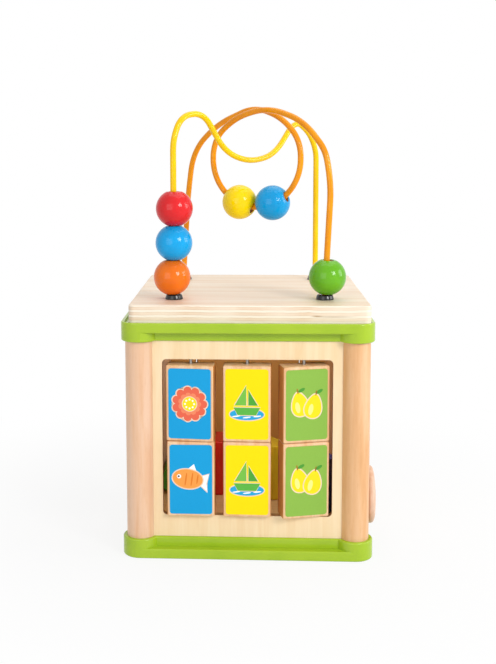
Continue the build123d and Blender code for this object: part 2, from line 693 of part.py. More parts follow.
def door_stop():
    """Batten glued inside the rear panel: the door closes against its half."""
    z = DOOR_Z + DOOR_H / 2
    body = Pos(DOOR_W / 2, PANEL_IN - STOP_T / 2, z) * Box(STOP_W, STOP_T, STOP_L)
    step = Pos(DOOR_W / 2 - STOP_W, PANEL_IN, z) * Box(2 * STOP_W, 2 * STOP_CLEAR, 2 * STOP_L)
    return body - step - stop_magnet(FIT)


def door_pins():
    """Two steel pins, fixed in the panel, that the door turns on."""
    return Compound(children=list(pin_cutter(0)))


# ---- write every node -----------------------------------------------------------------------
def main():
    """Write one STEP file per node."""
    os.makedirs("parts", exist_ok=True)
    save(bottom_frame(), "bottom_frame")
    save(top_frame(), "top_frame")
    post_names = ("post_front_left", "post_front_right", "post_rear_left", "post_rear_right")
    for name, (sx, sy) in zip(post_names, corner_places()):
        save(post(sx, sy), name)
    save(floor_board(), "floor_board")
    save(top_board(), "top_board")
    save(front_panel(), "front_panel")
    save(right_panel(), "right_panel")
    save(left_panel(), "left_panel")
    save(rear_panel(), "rear_panel")
    screw = countersunk_screw(POST_SCREW_L)
    save(Compound(children=[place * screw for place in post_screw_places(False)]), "bottom_screws")
    save(Compound(children=[place * screw for place in post_screw_places(True)]), "top_screws")
    board_screw = countersunk_screw(BOARD_SCREW_L)
    save(Compound(children=[place * board_screw for place in board_screw_places()]), "board_screws")

    for column, side in enumerate(("left", "middle", "right")):
        save(pivot_rod(column), f"pivot_rod_{side}")
        for row, level in enumerate(("lower", "upper")):
            save(picture_block(column, row), f"picture_block_{side}_{level}")
            save(block_labels(column, row), f"block_labels_{side}_{level}")

    save(yellow_wire(), "yellow_wire")
    save(orange_wire(), "orange_wire")
    save(wire_ferrules(), "wire_ferrules")
    save(stacked_bead(0, ORANGE_BEAD_X), "orange_bead")
    save(stacked_bead(1, BLUE_BEAD_X), "blue_stack_bead")
    save(stacked_bead(2, RED_BEAD_X), "red_bead")
    save(green_bead(), "green_bead")
    save(ring_bead(-1), "yellow_bead")
    save(ring_bead(1), "blue_ring_bead")

    save(slider_disc(), "slider_disc")
    save(slider_spacer(), "slider_spacer")
    save(slider_backing(), "slider_backing")
    save(slider_screw(), "slider_screw")
    for name in SHAPES:
        save(loose_shape(name), name)
    save(rear_door(), "rear_door")
    save(door_pins(), "door_pins")
    save(door_stop(), "door_stop")
    save(stop_magnet(0), "door_magnet")
    save(keeper_disc(0), "door_keeper")


main()
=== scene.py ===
"""A wooden activity cube with a bead maze, dressed for rendering piece by piece, in metres."""
import json
import math

import bmesh
import bpy
import numpy as np
from mathutils import Matrix, Vector

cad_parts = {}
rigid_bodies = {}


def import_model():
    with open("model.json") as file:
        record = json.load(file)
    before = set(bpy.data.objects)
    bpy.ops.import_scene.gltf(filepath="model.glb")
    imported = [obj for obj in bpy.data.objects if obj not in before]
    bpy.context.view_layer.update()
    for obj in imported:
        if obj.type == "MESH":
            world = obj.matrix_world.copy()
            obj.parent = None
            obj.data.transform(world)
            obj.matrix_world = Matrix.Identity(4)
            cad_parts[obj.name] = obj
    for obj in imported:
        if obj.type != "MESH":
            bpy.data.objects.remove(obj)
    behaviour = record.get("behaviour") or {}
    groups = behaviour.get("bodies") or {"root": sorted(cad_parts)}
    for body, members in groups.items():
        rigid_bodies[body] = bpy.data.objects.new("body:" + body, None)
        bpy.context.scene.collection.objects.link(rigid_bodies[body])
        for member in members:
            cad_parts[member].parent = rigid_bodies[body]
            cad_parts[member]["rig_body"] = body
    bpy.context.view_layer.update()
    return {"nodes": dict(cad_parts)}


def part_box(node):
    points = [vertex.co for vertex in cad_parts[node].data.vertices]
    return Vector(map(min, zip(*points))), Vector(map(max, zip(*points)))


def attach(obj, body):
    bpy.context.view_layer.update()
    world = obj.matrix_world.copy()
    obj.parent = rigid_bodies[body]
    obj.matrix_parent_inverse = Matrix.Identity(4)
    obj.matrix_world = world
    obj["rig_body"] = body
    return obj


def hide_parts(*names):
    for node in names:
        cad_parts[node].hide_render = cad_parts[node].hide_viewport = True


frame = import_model()

# =============================================================================================
# Studio: a wide white floor, a key softbox in front on the right, weaker ones on the left, at
# the side and overhead, and a small lamp inside. The camera stands in front, a little above.
# =============================================================================================
CAMERA_PLACE = (0.00203, -0.86443, 0.32667)
CAMERA_YAW = math.radians(3.24)
CAMERA_PITCH = math.radians(6.1)
CAMERA_ROLL = math.radians(-0.3)
CAMERA_LENS = 54.22
CAMERA_SHIFT = (0.0819, -0.1179)


def linear(code):
    """sRGB hex colour as linear red, green, blue and alpha."""
    srgb = [int(code[i:i + 2], 16) / 255 for i in (1, 3, 5)]
    return [c / 12.92 if c <= 0.04045 else ((c + 0.055) / 1.055) ** 2.4 for c in srgb] + [1.0]


def add(tree, kind, inputs=None, stops=None, **settings):
    """Adds one node; inputs are values, or nodes or sockets to link; stops are a ramp's colours."""
    node = tree.nodes.new(kind)
    for key, value in settings.items():
        setattr(node, key, value)
    for key, value in (inputs or {}).items():
        if isinstance(value, bpy.types.Node):
            value = value.outputs[0]
        if isinstance(value, bpy.types.NodeSocket):
            tree.links.new(value, node.inputs[key])
        else:
            node.inputs[key].default_value = value
    for i, (place, colour) in enumerate(stops or ()):
        ramp = node.color_ramp.elements
        stop = ramp[i] if i < 2 else ramp.new(place)
        stop.position = place
        stop.color = linear(colour)
    return node


def new_material(name):
    """An empty node material, its tree and its output."""
    material = bpy.data.materials.new(name)
    material.use_nodes = True
    tree = material.node_tree
    tree.nodes.clear()
    return material, tree, add(tree, "ShaderNodeOutputMaterial")


def softbox(name, place, aim, size, watts):
    """A square area lamp that faces a point."""
    lamp = bpy.data.lights.new(name, "AREA")
    lamp.size = size
    lamp.energy = watts
    holder = bpy.data.objects.new(name, lamp)
    holder.location = place
    holder.rotation_euler = (Vector(aim) - Vector(place)).to_track_quat("-Z", "Y").to_euler()
    bpy.context.scene.collection.objects.link(holder)


def plain_view(tree):
    """1 for the rays that show a thing itself, its reflection or its refraction, else 0."""
    paths = add(tree, "ShaderNodeLightPath")
    kinds = [paths.outputs[f"Is {kind} Ray"] for kind in ("Camera", "Glossy", "Transmission")]
    seen = add(tree, "ShaderNodeMath", {0: kinds[0], 1: kinds[1]}, operation="MAXIMUM")
    return add(tree, "ShaderNodeMath", {0: seen, 1: kinds[2]}, operation="MAXIMUM")


scene = bpy.context.scene
scene.view_settings.view_transform = "Standard"
camera = bpy.data.objects.new("camera", bpy.data.cameras.new("camera"))
camera.location = CAMERA_PLACE
tilt = Matrix.Rotation(math.pi / 2 - CAMERA_PITCH, 3, "X") @ Matrix.Rotation(CAMERA_ROLL, 3, "Z")
camera.rotation_euler = (Matrix.Rotation(CAMERA_YAW, 3, "Z") @ tilt).to_euler()
camera.data.lens = CAMERA_LENS
camera.data.shift_x, camera.data.shift_y = CAMERA_SHIFT
scene.collection.objects.link(camera)
scene.camera = camera

# Lamps: name, place, the point that each one faces, side in metres and power in watts.
LAMPS = (("key_softbox", (0.85, -1.05, 0.85), (0, 0, 0.18), 0.45, 10.6),
         ("side_softbox", (1.35, -0.1, 0.6), (0, 0, 0.15), 0.6, 5.5),
         ("fill_softbox", (-0.7, -1.4, 0.55), (0, 0, 0.15), 1.0, 5.4),
         ("overhead_panel", (0.1, 0.25, 1.3), (0, 0, 0.2), 1.1, 4.8),
         ("light_inside", (0, -0.055, 0.166), (0, 0.05, 0.05), 0.03, 0.07))
for lamp in LAMPS:
    softbox(*lamp)

world = bpy.data.worlds.new("white_room")
scene.world = world
ROOM_LIGHT = 0.46           # the white walls' share in lighting matt surfaces
world.use_nodes = True
room = world.node_tree
room.nodes.clear()
soft_light = add(room, "ShaderNodeBackground", {"Color": linear("#FFFFFF"), "Strength": ROOM_LIGHT})
backdrop = add(room, "ShaderNodeBackground", {"Color": linear("#FFFFFF"), "Strength": 1.0})
choice = add(room, "ShaderNodeMixShader", {0: plain_view(room), 1: soft_light, 2: backdrop})
add(room, "ShaderNodeOutputWorld", {"Surface": choice})

# Matt white laminate: it keeps the cube's soft shadow and fades to the white room.
FLOOR_HALF = 4.0
SHADOW_REACH = (0.12, 0.42)  # the shadow fades between these distances from the cube's middle
PLAIN_WHITE = 0.86           # share of plain white in the floor beside the cube
floor_mesh = bpy.data.meshes.new("floor")
floor_corners = [(x * FLOOR_HALF, y * FLOOR_HALF, 0) for x, y in ((-1, -1), (1, -1), (1, 1), (-1, 1))]
floor_mesh.from_pydata(floor_corners, [], [(0, 1, 2, 3)])
floor = bpy.data.objects.new("floor", floor_mesh)
scene.collection.objects.link(floor)
laminate, tree, out = new_material("white_laminate")
place = add(tree, "ShaderNodeTexCoord")
distance = add(tree, "ShaderNodeVectorMath", {0: place.outputs["Object"]}, operation="LENGTH")
fading = add(tree, "ShaderNodeMapRange",
             {"Value": distance.outputs["Value"], "From Min": SHADOW_REACH[0], "From Max": SHADOW_REACH[1],
              "To Min": PLAIN_WHITE, "To Max": 1.0}, interpolation_type="SMOOTHSTEP")
share = add(tree, "ShaderNodeMath", {0: fading, 1: plain_view(tree)}, operation="MULTIPLY")
board = add(tree, "ShaderNodeBsdfDiffuse", {"Color": linear("#E6E6E6")})
white = add(tree, "ShaderNodeEmission", {"Color": linear("#FFFFFF"), "Strength": 1.0})
sheet = add(tree, "ShaderNodeMixShader", {0: share, 1: board, 2: white})
tree.links.new(sheet.outputs[0], out.inputs["Surface"])
floor_mesh.materials.append(laminate)

# =============================================================================================
# Green frames: two glossy ABS mouldings, apple green. Each has a wide band, a set-back rail
# and round cups for the posts; the upper one has a lip round the top board.
# =============================================================================================
MM = 0.001
PER_METRE = 1000            # mm
EASED_ANGLE = math.radians(35)
FLAT_ANGLE = math.radians(0.6)
MERGE = 0.002               # vertices closer than this many mm become one
FRAME_EDGE, PANEL_EDGE, BOARD_EDGE, BATTEN_EDGE = 0.45, 0.5, 0.3, 0.6  # widths of eased edges


def hold(piece, body, slot, *nodes):
    """The piece moves with a body and stands for these nodes, which are hidden; slot is not used."""
    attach(piece, body)
    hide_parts(*nodes)


def finish_surface(piece, material):
    """Smooth shading between sharp edges, and the piece's material."""
    piece.data.polygons.foreach_set("use_smooth", np.ones(len(piece.data.polygons), bool))
    piece.data.set_sharp_from_angle(angle=EASED_ANGLE)
    piece.data.materials.clear()
    piece.data.materials.append(material)


def weighted(piece):
    """Keeps large flats flat where they meet small rounded edges."""
    normals = piece.modifiers.new("flat_faces", "WEIGHTED_NORMAL")
    normals.keep_sharp = True


def eased(node, edge, material, slot):
    """A copy of a node's mesh with its doubles merged and its sharp edges rounded by edge mm."""
    mesh = frame["nodes"][node].data.copy()
    mesh.name = node + "_eased"
    work = bmesh.new()
    work.from_mesh(mesh)
    bmesh.ops.remove_doubles(work, verts=work.verts, dist=MERGE * MM)
    bmesh.ops.dissolve_limit(work, angle_limit=FLAT_ANGLE, verts=work.verts, edges=work.edges)
    bmesh.ops.recalc_face_normals(work, faces=work.faces)
    work.to_mesh(mesh)
    work.free()
    piece = bpy.data.objects.new(mesh.name, mesh)
    scene.collection.objects.link(piece)
    finish_surface(piece, material)
    if edge > 0:
        bevel = piece.modifiers.new("eased_edges", "BEVEL")
        bevel.width = edge * MM
        bevel.segments = 2
        bevel.limit_method = "ANGLE"
        bevel.angle_limit = EASED_ANGLE
    weighted(piece)
    hold(piece, frame["nodes"][node]["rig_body"], slot, node)


# Moulded ABS: an even colour, a hard gloss, and a very slight waviness from shrinkage.
def moulded_abs(name, colour, dark, roughness):
    """Glossy moulded plastic with faint clouding and shrink marks."""
    material, tree, out = new_material(name)
    place = add(tree, "ShaderNodeTexCoord")
    clouds = add(tree, "ShaderNodeTexNoise", {"Vector": place.outputs["Object"], "Scale": 30, "Detail": 2})
    tint = add(tree, "ShaderNodeValToRGB", {"Fac": clouds}, ((0.35, dark), (0.6, colour)))
    waves = add(tree, "ShaderNodeTexNoise", {"Vector": place.outputs["Object"], "Scale": 160, "Detail": 1})
    relief = add(tree, "ShaderNodeBump", {"Height": waves, "Strength": 0.06, "Distance": 0.0004})
    skin = add(tree, "ShaderNodeBsdfPrincipled",
               {"Base Color": tint, "Roughness": roughness, "IOR": 1.54,
                "Specular IOR Level": 0.4, "Normal": relief})
    tree.links.new(skin.outputs[0], out.inputs["Surface"])
    return material


green_abs = moulded_abs("apple_green_abs", "#A4C226", "#9BBC20", roughness=0.2)
for node in ("bottom_frame", "top_frame"):
    eased(node, FRAME_EDGE, green_abs, "green_abs")

# =============================================================================================
# Posts: four turned beech dowels, 22.8 mm, with a groove for each panel's edge. They are
# sanded and clear varnished, so the short brown flecks of beech show along the grain.
# =============================================================================================
POST_R = 11.4
POST_C = 85.5               # a dowel's centre from the cube's middle, along X and along Y
GROOVE_NEAR = 1.65          # groove's two sides and floor, measured from the dowel's centre
GROOVE_FAR = -4.65
GROOVE_FLOOR = 6.1
OUTER_STEPS, INNER_STEPS, POST_LEVELS = 120, 40, 13


def tube_faces(rings, around, closed=False):
    """Quads that face out between a tube's rings; closed joins its last ring to its first."""
    i = np.arange(rings if closed else rings - 1)[:, None]
    j = np.arange(around)[None, :]
    i2, j2 = (i + 1) % rings, (j + 1) % around
    quads = np.stack([i * around + j2, i2 * around + j2, i2 * around + j, i * around + j], axis=-1)
    return quads.reshape(-1, 4)


def end_fans(rings, around):
    """Triangles that close a tube's first and last ring, from two poles stored after its rings."""
    first, top = rings * around, (rings - 1) * around
    j = np.arange(around)
    j2 = (j + 1) % around
    return np.concatenate([np.stack([np.full(around, first), j2, j], axis=1),
                           np.stack([np.full(around, first + 1), top + j, top + j2], axis=1)])


def surface(name, points, quads, extra=()):
    """A mesh object in metres from an array of points in mm, its quads and any larger faces."""
    mesh = bpy.data.meshes.new(name)
    faces = [list(face) for group in (quads, extra) for face in group]
    mesh.from_pydata((np.asarray(points) * MM).tolist(), [], faces)
    mesh.update()
    piece = bpy.data.objects.new(name, mesh)
    scene.collection.objects.link(piece)
    return piece


def arc(start, end, count):
    """Points on the dowel's circle from one angle to another, both given in radians."""
    angle = np.linspace(start, end, count)
    return np.stack([np.cos(angle), np.sin(angle)], axis=1) * POST_R


def dowel(name, sx, sy, low, high, material):
    """Prism of a circle with two rectangular notches that face the cube's middle."""
    near, far = math.asin(GROOVE_NEAR / POST_R), math.asin(GROOVE_FAR / POST_R)
    front = [(GROOVE_NEAR, GROOVE_FLOOR), (GROOVE_FAR, GROOVE_FLOOR)]
    side = [(GROOVE_FLOOR, GROOVE_FAR), (GROOVE_FLOOR, GROOVE_NEAR)]
    outline = np.concatenate([arc(near, math.pi / 2 - near, INNER_STEPS), front,
                              arc(math.pi / 2 - far, 2 * math.pi + far, OUTER_STEPS), side])
    outline = outline * (-sx, -sy)
    if sx * sy < 0:
        outline = outline[::-1]
    outline = outline + (sx * POST_C, sy * POST_C)
    count = len(outline)
    levels = np.linspace(low, high, POST_LEVELS)
    points = np.concatenate([np.column_stack([outline, np.full(count, z)]) for z in levels])
    ends = [np.arange(count)[::-1], np.arange(count) + count * (len(levels) - 1)]
    piece = surface(name, points, tube_faces(len(levels), count), ends)
    finish_surface(piece, material)
    return piece


def wood(name, pale, mid, dark, band, fleck, fleck_colour, fleck_share, roughness):
    """Clear-varnished wood: broad growth bands and short flecks, both drawn out upright.

    band and fleck are the widths across the grain in mm.
    """
    material, tree, out = new_material(name)
    place = add(tree, "ShaderNodeTexCoord")
    scale = (PER_METRE / band, PER_METRE / band, PER_METRE / (band * 14))
    wide = add(tree, "ShaderNodeMapping", {"Vector": place.outputs["Object"], "Scale": scale})
    growth = add(tree, "ShaderNodeTexNoise",
                 {"Vector": wide, "Scale": 1.0, "Detail": 5, "Roughness": 0.55, "Distortion": 0.5})
    tint = add(tree, "ShaderNodeValToRGB", {"Fac": growth},
               ((0.3, dark), (0.48, mid), (0.68, pale)))
    fine = (PER_METRE / fleck, PER_METRE / fleck, PER_METRE / (fleck * 9))
    narrow = add(tree, "ShaderNodeMapping", {"Vector": place.outputs["Object"], "Scale": fine})
    flecks = add(tree, "ShaderNodeTexNoise", {"Vector": narrow, "Scale": 1.0, "Detail": 2})
    marks = add(tree, "ShaderNodeMapRange",
                {"Value": flecks, "From Min": 0.56, "From Max": 0.72, "To Min": 0.0,
                 "To Max": fleck_share})
    colour = add(tree, "ShaderNodeMixRGB",
                 {0: marks, 1: tint, 2: linear(fleck_colour)})
    relief = add(tree, "ShaderNodeBump", {"Height": flecks, "Strength": 0.12, "Distance": 0.0003})
    skin = add(tree, "ShaderNodeBsdfPrincipled",
               {"Base Color": colour, "Roughness": roughness, "IOR": 1.5,
                "Specular IOR Level": 0.4, "Normal": relief})
    tree.links.new(skin.outputs[0], out.inputs["Surface"])
    return material


pink_beech = wood("varnished_pink_beech", "#EBC6A9", "#E7BC99", "#E2B08A",
                  band=7.0, fleck=0.8, fleck_colour="#CE9870", fleck_share=0.16, roughness=0.36)
tan_beech = wood("varnished_tan_beech", "#E8BD92", "#E1AE7C", "#DAA16C",
                 band=7.0, fleck=0.8, fleck_colour="#C48A54", fleck_share=0.16, roughness=0.36)
post_low, post_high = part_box("post_front_left")
for node, sx, sy in (("post_front_left", -1, -1), ("post_front_right", 1, -1),
                     ("post_rear_left", -1, 1), ("post_rear_right", 1, 1)):
    grown_wood = pink_beech if sx < 0 else tan_beech
    piece = dowel(node + "_dowel", sx, sy, post_low.z / MM, post_high.z / MM, grown_wood)
    hold(piece, "root", "beech", node)

# =============================================================================================
# Side panels, floor and door: 6 mm birch plywood with five plies, sanded and satin varnished.
# The face grain runs upright, and the cut edges show the plies as stripes.
# =============================================================================================
PANEL_OUT = 90.0
PANEL_T = 6.0
PORE_WIDTH, PORE_LENGTH = 0.7, 9.0


def plywood(name, depth_of, thickness, plies, along, band, face, edge, far_face_tone_and_shade, knots=()):
    """Birch plywood: faint long grain on the faces and plies with thin glue lines on the edges.

    depth_of builds, from the node tree and the coordinates in mm, the depth below one face.
    face is a pale and a darker tone, edge a long-grain, an end-grain and a glue-line tone, and
    inner the colour of the face on the far side; on the panels and the door it is a dark warm
    tan that paints the shade inside the cube. band is the grain's width in mm, and a
    knot is its centre and its half length, depth and height in mm.
    """
    material, tree, out = new_material(name)
    place = add(tree, "ShaderNodeTexCoord")
    scale = [PER_METRE / band] * 3
    scale[along] = PER_METRE / (band * 16)
    wide = add(tree, "ShaderNodeMapping", {"Vector": place.outputs["Object"], "Scale": scale})
    growth = add(tree, "ShaderNodeTexNoise",
                 {"Vector": wide, "Scale": 1.0, "Detail": 6, "Roughness": 0.6, "Distortion": 0.8})
    sanded = add(tree, "ShaderNodeValToRGB", {"Fac": growth}, ((0.34, face[1]), (0.62, face[0])))
    fine = [PER_METRE / PORE_WIDTH] * 3
    fine[along] = PER_METRE / PORE_LENGTH
    narrow = add(tree, "ShaderNodeMapping", {"Vector": place.outputs["Object"], "Scale": fine})
    pores = add(tree, "ShaderNodeTexNoise", {"Vector": narrow, "Scale": 1.0, "Detail": 2})
    marks = add(tree, "ShaderNodeMapRange",
                {"Value": pores, "From Min": 0.58, "From Max": 0.75, "To Min": 0.0, "To Max": 0.2})
    grained = add(tree, "ShaderNodeMixRGB", {0: marks, 1: sanded, 2: linear(face[1])})
    in_mm = add(tree, "ShaderNodeMapping", {"Vector": place.outputs["Object"], "Scale": [PER_METRE] * 3})
    depth = depth_of(tree, in_mm)
    ply = add(tree, "ShaderNodeMath", {0: depth, 1: plies / thickness}, operation="MULTIPLY")
    wobble = add(tree, "ShaderNodeTexNoise", {"Vector": in_mm, "Scale": 0.05, "Detail": 3})
    shifted = add(tree, "ShaderNodeMath", {0: wobble, 1: 0.9, 2: ply},
                  operation="MULTIPLY_ADD")
    pair = add(tree, "ShaderNodeMath", {0: shifted, 1: 2.0}, operation="MODULO")
    half = add(tree, "ShaderNodeMath", {0: pair, 1: 2.0}, operation="DIVIDE")
    stripe = add(tree, "ShaderNodeValToRGB", {"Fac": half},
                 ((0.0, edge[2]), (0.05, edge[0]), (0.45, edge[0]), (0.5, edge[2]), (0.56, edge[1]),
                  (0.94, edge[1]), (1.0, edge[2])))
    fading = add(tree, "ShaderNodeTexNoise", {"Vector": in_mm, "Scale": 0.035, "Detail": 2})
    weaker = add(tree, "ShaderNodeMapRange", {"Value": fading, "From Min": 0.35, "From Max": 0.65,
                                              "To Min": 0.0, "To Max": 0.6})
    cut = add(tree, "ShaderNodeMixRGB", {0: weaker, 1: stripe, 2: linear(edge[0])})
    skin_depth = 0.35
    from_back = add(tree, "ShaderNodeMath", {0: thickness, 1: depth}, operation="SUBTRACT")
    nearest = add(tree, "ShaderNodeMath", {0: depth, 1: from_back}, operation="MINIMUM")
    is_edge = add(tree, "ShaderNodeMath", {0: nearest, 1: skin_depth}, operation="GREATER_THAN")
    is_inner = add(tree, "ShaderNodeMath", {0: depth, 1: thickness - skin_depth}, operation="GREATER_THAN")
    faces = add(tree, "ShaderNodeMixRGB", {0: is_inner, 1: grained, 2: linear(far_face_tone_and_shade)})
    colour = add(tree, "ShaderNodeMixRGB", {0: is_edge, 1: faces, 2: cut})
    for centre, reach in knots:
        offset = add(tree, "ShaderNodeVectorMath", {0: in_mm, 1: centre}, operation="SUBTRACT")
        share = add(tree, "ShaderNodeVectorMath", {0: offset, 1: reach}, operation="DIVIDE")
        away = add(tree, "ShaderNodeVectorMath", {0: share}, operation="LENGTH")
        stain = add(tree, "ShaderNodeMapRange",
                    {"Value": away.outputs["Value"], "From Min": 0.2, "From Max": 1.0, "To Min": 0.9,
                     "To Max": 0.0}, interpolation_type="SMOOTHSTEP")
        colour = add(tree, "ShaderNodeMixRGB", {0: stain, 1: colour, 2: linear("#A0702E")})
    relief = add(tree, "ShaderNodeBump", {"Height": pores, "Strength": 0.1, "Distance": 0.0003})
    skin = add(tree, "ShaderNodeBsdfPrincipled",
               {"Base Color": colour, "Roughness": 0.4, "IOR": 1.5, "Specular IOR Level": 0.4,
                "Normal": relief})
    tree.links.new(skin.outputs[0], out.inputs["Surface"])
    return material


def panel_depth(tree, place):
    """Depth below a side panel's outer face: its distance inwards along X or Y."""
    split = add(tree, "ShaderNodeSeparateXYZ", {0: place})
    x = add(tree, "ShaderNodeMath", {0: split.outputs["X"]}, operation="ABSOLUTE")
    y = add(tree, "ShaderNodeMath", {0: split.outputs["Y"]}, operation="ABSOLUTE")
    outer = add(tree, "ShaderNodeMath", {0: x, 1: y}, operation="MAXIMUM")
    return add(tree, "ShaderNodeMath", {0: PANEL_OUT, 1: outer}, operation="SUBTRACT")


def height_below(top):
    """A depth measured straight down from a level, in mm."""
    def depth(tree, place):
        split = add(tree, "ShaderNodeSeparateXYZ", {0: place})
        return add(tree, "ShaderNodeMath", {0: top, 1: split.outputs["Z"]}, operation="SUBTRACT")
    return depth


# The panels' and door's faces inside the cube are a dark warm tan: painted shade of the dim inside.
panel_ply = plywood("birch_ply_6mm", panel_depth, PANEL_T, plies=5, along=2, band=7.0,
                    face=("#F5DDB7", "#EFD1A4"), edge=("#D9B27E", "#A97442", "#8A5A30"),
                    far_face_tone_and_shade="#D99C54")
for node in ("front_panel", "right_panel", "left_panel", "rear_panel", "rear_door"):
    eased(node, PANEL_EDGE, panel_ply, "birch_ply")
floor_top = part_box("floor_board")[1].z / MM
# The floor board's face is a deeper orange than the panels' faces, as painted warm shade inside the cube.
floor_ply_painted_shade = plywood("birch_ply_floor_painted_shade", height_below(floor_top), PANEL_T, plies=5, along=0, band=7.0,
                    face=("#F6CB98", "#EDBB82"), edge=("#E3C598", "#BC9060", "#8A5A30"),
                    far_face_tone_and_shade="#F6C78E")
eased("floor_board", PANEL_EDGE, floor_ply_painted_shade, "birch_ply")

# =============================================================================================
# Top board: 15 mm birch plywood with seven plies. Its face is pale with a faint flowing
# grain from side to side; the sanded edge shows a stripe for each ply and a pin knot.
# =============================================================================================
board_low, board_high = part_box("top_board")
BOARD_T = (board_high.z - board_low.z) / MM
BOARD_KNOT = ((54.0, -99.0, board_high.z / MM - 8.2), (6.5, 9.0, 1.1))
BOARD_STREAK = ((66.0, -99.0, board_high.z / MM - 8.6), (26.0, 9.0, 0.7))
board_ply = plywood("birch_ply_15mm", height_below(board_high.z / MM), BOARD_T, plies=7, along=0,
                    band=13.0, face=("#F1E0CA", "#E9CFB1"), edge=("#F4E8D6", "#E9CFB4", "#C9A077"),
                    far_face_tone_and_shade="#F0DDBE", knots=(BOARD_STREAK, BOARD_KNOT))
eased("top_board", BOARD_EDGE, board_ply, "birch_board")

# =============================================================================================
# Steel parts: drawn rods for the picture blocks, the door's pins, magnet and keeper, and the
# zinc-plated screws.
# =============================================================================================


def steel(name, colour, roughness):
    """Drawn or plated steel with faint lengthwise streaks."""
    material, tree, out = new_material(name)
    place = add(tree, "ShaderNodeTexCoord")
    drawn = add(tree, "ShaderNodeMapping", {"Vector": place.outputs["Object"], "Scale": (6000, 6000, 200)})
    streaks = add(tree, "ShaderNodeTexNoise", {"Vector": drawn, "Scale": 1.0, "Detail": 2})
    rough = add(tree, "ShaderNodeMapRange", {"Value": streaks, "To Min": roughness - 0.08,
                                             "To Max": roughness + 0.12})
    skin = add(tree, "ShaderNodeBsdfPrincipled",
               {"Base Color": linear(colour), "Metallic": 1.0, "Roughness": rough})
    tree.links.new(skin.outputs[0], out.inputs["Surface"])
    return material


bright_steel = steel("drawn_steel", "#96928D", roughness=0.42)
zinc = steel("zinc_plate", "#8C8D8F", roughness=0.46)
for metal, nodes in ((bright_steel, ("door_pins", "door_magnet", "door_keeper")),
                     (zinc, ("bottom_screws", "top_screws", "board_screws", "slider_screw"))):
    for node in nodes:
        frame["nodes"][node].data.materials.clear()
        frame["nodes"][node].data.materials.append(metal)


def turned(name, centre, axis, profile, material, segments, closed=False):
    """Surface of revolution: a profile of (radius, height) pairs in mm turned about an axis.

    Where the profile isn't closed, its first and last point lie on the axis and become poles.
    """
    profile = np.asarray(profile, float)
    axis = Vector(axis).normalized()
    side = axis.orthogonal().normalized()
    up = np.array(axis)
    u, v = np.array(side), np.array(axis.cross(side))
    angle = np.linspace(0, 2 * math.pi, segments, endpoint=False)
    ring = np.cos(angle)[:, None] * u + np.sin(angle)[:, None] * v
    body = profile if closed else profile[1:-1]
    points = ring[None, :, :] * body[:, 0, None, None] + up * body[:, 1, None, None]
    points = points.reshape(-1, 3)
    fans = ()
    if not closed:
        points = np.concatenate([points, [up * profile[0, 1], up * profile[-1, 1]]])
        fans = end_fans(len(body), segments)
    piece = surface(name, points + np.array(centre), tube_faces(len(body), segments, closed), fans)
    finish_surface(piece, material)
    return piece


def rounded(radius, low, high, edge, steps=6):
    """Half-section of a round bar with rounded rims, from the lower pole to the upper one."""
    turn = np.linspace(0, math.pi / 2, steps)
    lower = np.stack([radius - edge + edge * np.sin(turn), low + edge - edge * np.cos(turn)], axis=1)
    upper = np.stack([radius - edge + edge * np.cos(turn), high - edge + edge * np.sin(turn)], axis=1)
    return np.concatenate([[(0, low)], lower, upper, [(0, high)]])


ROD_R, ROD_EDGE = 1.25, 0.2
for side in ("left", "middle", "right"):
    node = f"pivot_rod_{side}"
    low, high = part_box(node)
    middle = (low + high) / 2 / MM
    half = (high.z - low.z) / 2 / MM
    profile = rounded(ROD_R, -half, half, ROD_EDGE)
    rod = turned(node + "_bar", middle, (0, 0, 1), profile, bright_steel, segments=32)
    hold(rod, "root", "bright_steel", node)

# =============================================================================================
# Picture blocks: six solid blocks of pale hardwood on steel rods, their edges rounded by
# sanding, with a clear matt varnish. Column by column they rest turned by a few degrees.
# =============================================================================================
BLOCK = (38.0, 16.0, 61.0)
BLOCK_EDGE = 1.5
REST_TURN = {("left", "lower"): 0.0, ("left", "upper"): -5.0, ("middle", "lower"): -1.0,
             ("middle", "upper"): -2.0, ("right", "lower"): 14.0, ("right", "upper"): 14.0}
block_wood = wood("varnished_block_wood", "#F0CDA8", "#EBBE92", "#E2AC7C",
                  band=6.0, fleck=0.7, fleck_colour="#C08652", fleck_share=0.3, roughness=0.45)
# The narrow sides' darker, more orange wood is painted shade between the blocks, not a different wood.
block_side_painted_shade = wood("block_side_painted_shade_wood", "#D08E4C", "#C27E3E", "#AE6A2E",
                  band=4.0, fleck=0.7, fleck_colour="#A8692F", fleck_share=0.4, roughness=0.45)


def turned_about(points, centre, degrees):
    """Points in mm turned about the upright axis and moved to a centre."""
    a = math.radians(degrees)
    spin = np.array([[math.cos(a), math.sin(a), 0], [-math.sin(a), math.cos(a), 0], [0, 0, 1]])
    return np.asarray(points) @ spin + np.array(centre)


def wooden_block(name, centre, degrees):
    """A box with its corners at plus and minus half its sides, edges rounded by a bevel.

    Its two narrow sides take a darker, more orange wood as painted shade.
    """
    signs = np.array([(x, y, z) for z in (-1, 1) for y in (-1, 1) for x in (-1, 1)])
    corners = turned_about(signs * np.array(BLOCK) / 2, centre, degrees)
    sides = [(0, 2, 3, 1), (4, 5, 7, 6), (0, 1, 5, 4), (2, 6, 7, 3), (0, 4, 6, 2), (1, 3, 7, 5)]
    piece = surface(name, corners, [], sides)
    finish_surface(piece, block_wood)
    piece.data.materials.append(block_side_painted_shade)
    piece.data.polygons.foreach_set("material_index", [0, 0, 0, 0, 1, 1])
    bevel = piece.modifiers.new("sanded_edges", "BEVEL")
    bevel.width = BLOCK_EDGE * MM
    bevel.segments = 4
    weighted(piece)
    return piece


block_centre = {}
for (side, level), degrees in REST_TURN.items():
    node = f"picture_block_{side}_{level}"
    low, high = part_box(node)
    block_centre[side, level] = (low + high) / 2 / MM
    piece = wooden_block(node + "_wood", block_centre[side, level], degrees)
    hold(piece, f"{side}_{level}_block", "block_wood", node)

